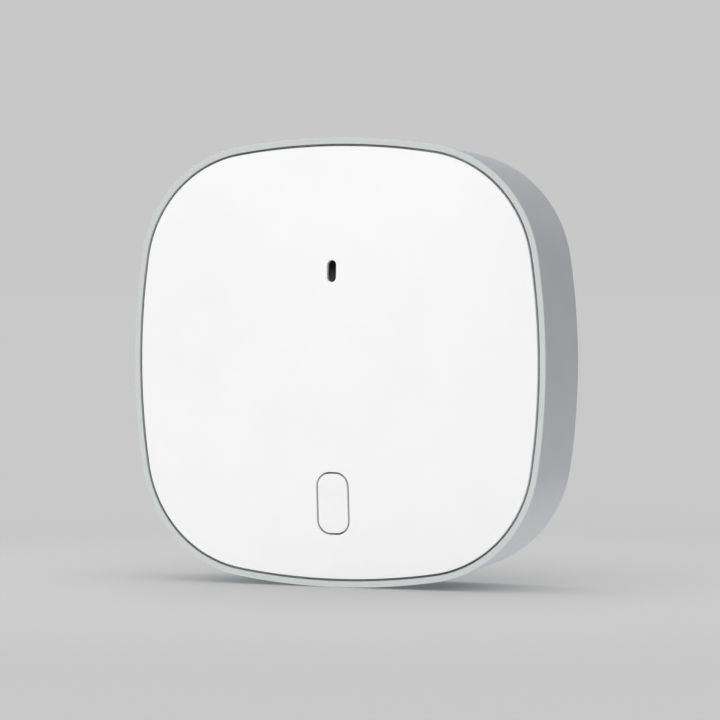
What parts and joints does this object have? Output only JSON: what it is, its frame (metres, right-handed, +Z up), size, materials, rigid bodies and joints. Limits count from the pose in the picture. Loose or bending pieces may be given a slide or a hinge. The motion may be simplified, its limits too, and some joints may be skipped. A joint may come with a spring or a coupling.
{
  "type": "garage door controller",
  "caption": "Palm-sized hub with a soft square case, a domed front plate, a slim light slot and a push button over a small switch. Hangs on keyholes in its back.",
  "frame": {"origin": "under the middle of the body, on the surface it stands on", "axes": "+Z up, front towards -Y, +Y out of the wall face"},
  "size_m": [0.08, 0.022, 0.08],
  "materials": {
    "case_plastic": "light grey moulded ABS with a fine spark texture",
    "plate_plastic": "white moulded ABS, satin",
    "button_plastic": "white moulded ABS, satin",
    "smoked_lens": "smoked polycarbonate",
    "board_laminate": "glass epoxy laminate under solder mask",
    "module_laminate": "glass epoxy laminate under black solder mask",
    "tinned_sheet": "tin-plated pressed sheet",
    "chip_resin": "moulded epoxy",
    "crystal_can": "nickel lid on a ceramic base",
    "copper_wire": "bare copper wire",
    "lamp_resin": "white reflector resin",
    "contact_resin": "black moulded nylon",
    "ferrite": "pressed ferrite",
    "capacitor_can": "drawn aluminium can",
    "ceramic_block": "fired ceramic",
    "switch_resin": "black moulded nylon",
    "spring_steel": "spring steel",
    "disc_brass": "rolled brass with a ceramic layer",
    "gasket_foam": "closed-cell foam",
    "screw_steel": "zinc-plated steel"
  },
  "bodies": {
    "housing": {"rear_case": "case_plastic", "front_plate": "plate_plastic", "light_pipe": "smoked_lens", "main_board": "board_laminate", "network_board": "module_laminate", "network_shield": "tinned_sheet", "network_chip": "chip_resin", "opener_radio": "chip_resin", "radio_crystal": "crystal_can", "opener_antenna": "copper_wire", "memory_chip": "chip_resin", "status_led": "lamp_resin", "socket_shell": "tinned_sheet", "socket_tongue": "contact_resin", "power_regulator": "chip_resin", "power_inductor": "ferrite", "bulk_capacitors": "capacitor_can", "chip_capacitors": "ceramic_block", "switch_base": "switch_resin", "switch_dome": "spring_steel", "switch_frame": "tinned_sheet", "sounder_case": "switch_resin", "sounder_disc": "disc_brass", "sounder_gasket": "gasket_foam", "case_screws": "screw_steel", "board_screws": "screw_steel"},
    "button": {"button_cap": "button_plastic"},
    "plunger": {"switch_stem": "switch_resin"}
  },
  "joints": [
    {"name": "button_press", "type": "slide", "parent": "housing", "child": "button", "axis": [0, 1, 0], "range_m": [0, 0.0004], "stiffness_N_per_m": 2500},
    {"name": "switch_press", "type": "slide", "parent": "housing", "child": "plunger", "axis": [0, 1, 0], "range_m": [0, 0.0004], "deforming": ["switch_dome"]}
  ],
  "couplings": [
    {"joint": "switch_press", "follows": "button_press", "ratio": 1}
  ]
}
